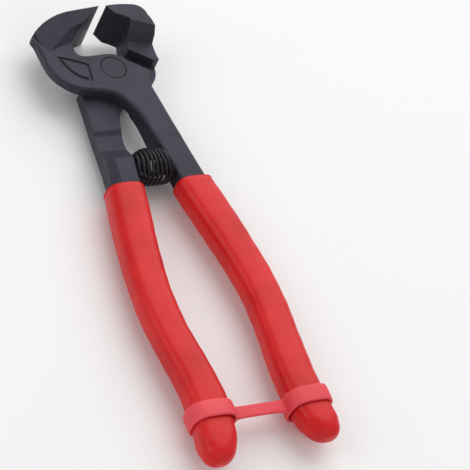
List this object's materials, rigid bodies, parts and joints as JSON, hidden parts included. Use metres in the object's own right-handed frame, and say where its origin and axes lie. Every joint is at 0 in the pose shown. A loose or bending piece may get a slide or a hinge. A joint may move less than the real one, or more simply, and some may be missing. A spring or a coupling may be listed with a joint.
{
  "type": "tile nippers",
  "caption": "Hand tile nippers: two lapped forged levers with wide pincer jaws, a coil return spring between the arms, dipped grips and a soft strap joining the handles.",
  "frame": {"origin": "on the pivot axis, at the rivet's flush back face", "axes": "+Z along the pivot axis to the front, +Y from the pivot to the jaws, handles along -Y"},
  "size_m": [0.0609, 0.2056, 0.024],
  "materials": {
    "forged_steel": "black oxide on a fine forged grain, satin",
    "tip_alloy": "ground, blackened",
    "rivet_steel": "blackened",
    "spring_steel": "blackened wire, slightly glossy",
    "dipped_vinyl": "satin dipped vinyl",
    "strap_vinyl": "soft moulded vinyl"
  },
  "bodies": {
    "front_side": {"front_lever": "forged_steel", "front_cutting_tip": "tip_alloy", "pivot_rivet": "rivet_steel", "front_spring_peg": "rivet_steel", "front_grip": "dipped_vinyl", "return_spring": "spring_steel", "handle_strap": "strap_vinyl"},
    "back_side": {"back_lever": "forged_steel", "back_cutting_tip": "tip_alloy", "back_spring_peg": "rivet_steel", "back_grip": "dipped_vinyl"}
  },
  "joints": [
    {"name": "pivot", "type": "hinge", "parent": "front_side", "child": "back_side", "pos_m": [0, 0, 0], "axis": [0, 0, 1], "range_deg": [0, 7.1], "stiffness_Nm_per_rad": 2.1, "springref_deg": -8.59, "deforming": ["return_spring", "handle_strap"]}
  ]
}
